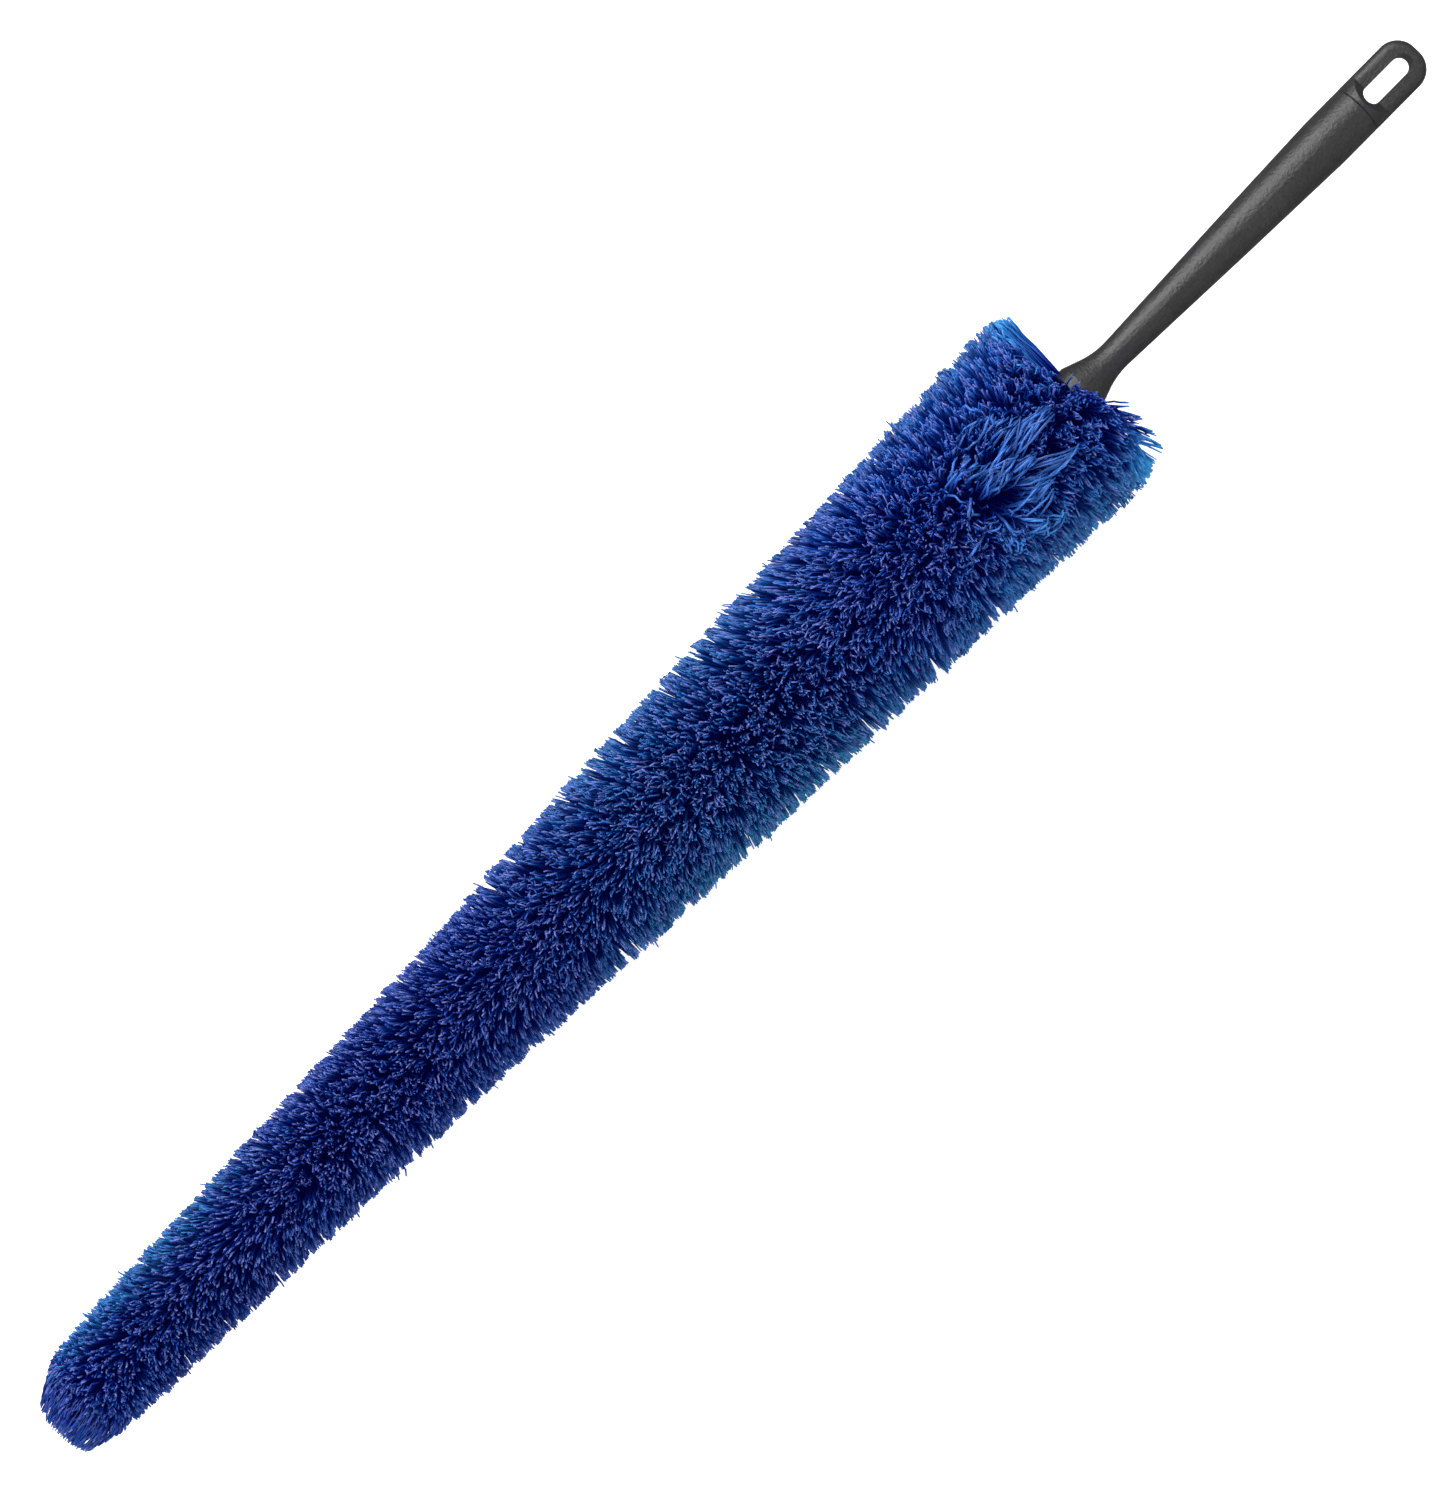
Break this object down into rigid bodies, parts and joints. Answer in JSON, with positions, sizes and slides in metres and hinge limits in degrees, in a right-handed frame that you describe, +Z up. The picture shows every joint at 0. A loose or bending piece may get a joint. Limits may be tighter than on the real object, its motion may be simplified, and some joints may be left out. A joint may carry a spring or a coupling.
{
  "type": "wheel brush",
  "caption": "Long tapered twisted-wire brush with a dense blue filament head, a slim black handle flared where it meets the head, and a slotted hanging cap.",
  "frame": {"origin": "under the middle of the brush's length, on the surface that the widest filaments touch when it lies flat", "axes": "+X along the brush's axis from the nose to the hanging loop, +Z up and along the hanging slot's axis, +Y across; the axis lies 35.5 mm above the origin"},
  "size_m": [0.61, 0.071, 0.071],
  "materials": {
    "filament": "bright blue crimped plastic filament, matte with a soft sheen, paler at the cut tips",
    "handle": "dark grey to black moulded polypropylene, satin with a fine grain",
    "wire": "galvanised drawn steel wire",
    "fixing_steel": "plain zinc-plated steel",
    "tip_vinyl": "soft matte black vinyl"
  },
  "bodies": {
    "root": {"bristle_turn_01": "filament", "bristle_turn_02": "filament", "bristle_turn_03": "filament", "bristle_turn_04": "filament", "bristle_turn_05": "filament", "bristle_turn_06": "filament", "bristle_turn_07": "filament", "bristle_turn_08": "filament", "bristle_turn_09": "filament", "bristle_turn_10": "filament", "bristle_turn_11": "filament", "bristle_turn_12": "filament", "bristle_turn_13": "filament", "bristle_turn_14": "filament", "bristle_turn_15": "filament", "bristle_turn_16": "filament", "bristle_turn_17": "filament", "bristle_turn_18": "filament", "bristle_turn_19": "filament", "bristle_turn_20": "filament", "bristle_turn_21": "filament", "bristle_turn_22": "filament", "bristle_turn_23": "filament", "bristle_turn_24": "filament", "core_wire": "wire", "wire_end_cap": "tip_vinyl", "handle_grip": "handle", "hang_cap": "handle", "anchor_ferrule": "fixing_steel", "retaining_clip": "fixing_steel"}
  },
  "joints": []
}
